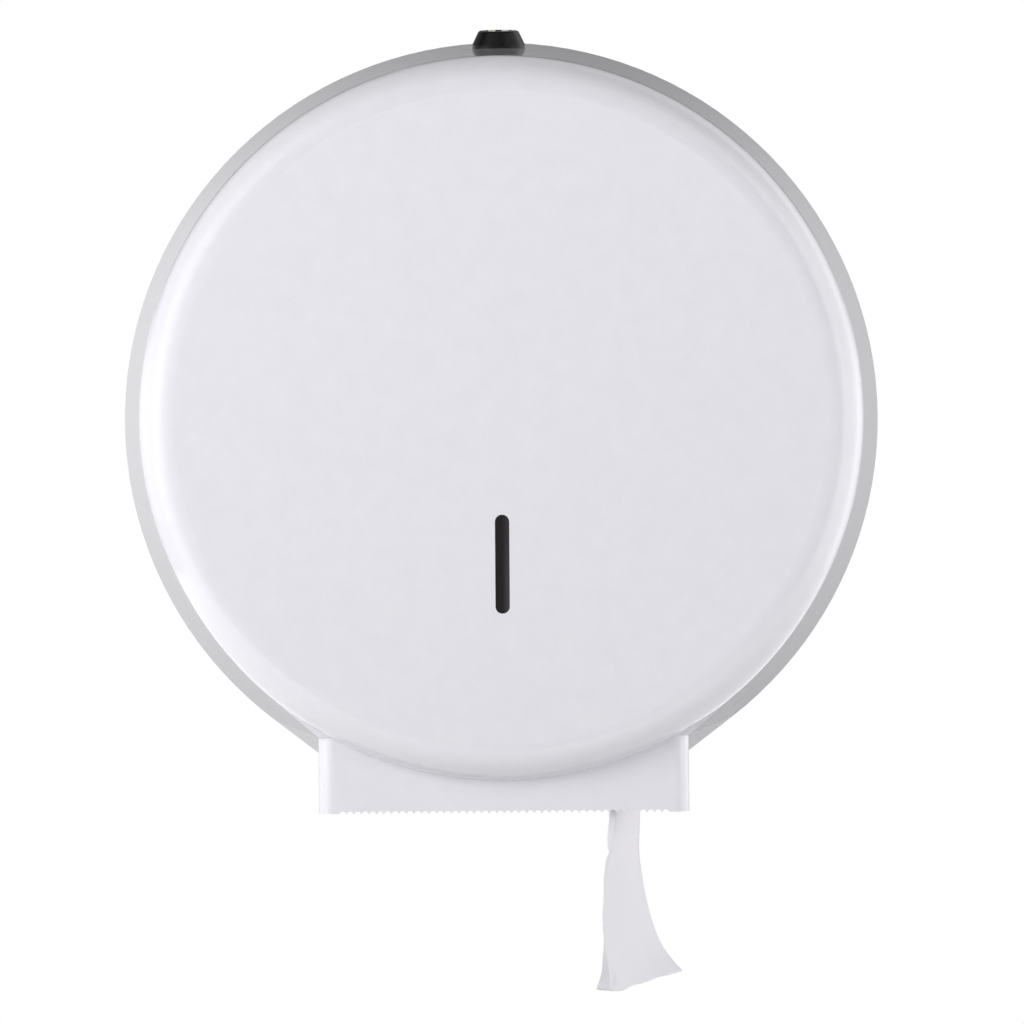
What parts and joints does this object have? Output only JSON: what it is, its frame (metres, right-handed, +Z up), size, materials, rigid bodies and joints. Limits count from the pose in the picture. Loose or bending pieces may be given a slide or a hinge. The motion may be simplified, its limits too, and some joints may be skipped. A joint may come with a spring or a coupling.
{
  "type": "jumbo toilet roll dispenser",
  "caption": "Wall dispenser for a jumbo toilet roll: round drum cover that swings down, tear edge, paper window, key lock, braked spindle.",
  "frame": {"origin": "on the wall plane, on the axis of the round cover, in the middle of the four wall holes", "axes": "+Z up, -Y out of the wall towards the user, +X to the user's right"},
  "size_m": [0.345, 0.128, 0.4296],
  "materials": {
    "white_paint": "glossy white powder coat",
    "plate_steel": "satin light grey paint",
    "zinc_steel": "zinc plated",
    "bright_steel": "turned",
    "spring_steel": "blued",
    "nylon": "natural nylon",
    "grey_plastic": "moulded dark grey",
    "black_plastic": "glossy black",
    "black_rubber": "soft matte",
    "smoked_plastic": "smoked, glossy",
    "felt": "pressed wool felt",
    "core_card": "plain wound board",
    "tissue": "soft crepe tissue"
  },
  "bodies": {
    "wall_unit": {"back_plate": "plate_steel", "hinge_ears": "zinc_steel", "hinge_bushes": "nylon", "strike_bracket": "zinc_steel", "strike_rivets": "bright_steel", "spindle_flange": "grey_plastic", "flange_rivets": "bright_steel", "axle": "bright_steel", "brake_felt": "felt", "disc_spring": "spring_steel", "thrust_washer": "zinc_steel", "axle_ring": "spring_steel"},
    "cover": {"cover_shell": "white_paint", "apron": "white_paint", "window": "smoked_plastic", "hinge_pins": "bright_steel", "pin_rings": "spring_steel", "lock_housing": "black_plastic", "lock_gasket": "black_rubber", "lock_nut": "zinc_steel"},
    "lock_turning": {"lock_core": "black_plastic", "lock_cam": "zinc_steel", "cam_screw": "bright_steel"},
    "roll": {"roll_spindle": "grey_plastic", "spindle_cap": "grey_plastic", "roll_core": "core_card", "paper_roll": "tissue"},
    "tail": {"paper_tail": "tissue"}
  },
  "joints": [
    {"name": "cover_hinge", "type": "hinge", "parent": "wall_unit", "child": "cover", "pos_m": [0, -0.008, -0.15135], "axis": [1, 0, 0], "range_deg": [0, 80]},
    {"name": "lock_turn", "type": "hinge", "parent": "cover", "child": "lock_turning", "pos_m": [0, -0.042, 0.16778], "axis": [0, -0.1201, 0.9928], "range_deg": [0, 90]},
    {"name": "roll_spin", "type": "hinge", "parent": "wall_unit", "child": "roll", "pos_m": [0, -0.059, 0.012], "axis": [0, 1, 0], "continuous": true},
    {"name": "paper_pull", "type": "slide", "parent": "wall_unit", "child": "tail", "axis": [0, 0, -1], "range_m": [0, 0.11], "deforming": ["paper_tail"]}
  ],
  "couplings": [
    {"joint": "roll_spin", "follows": "paper_pull", "rad_per_m": 18.518}
  ]
}
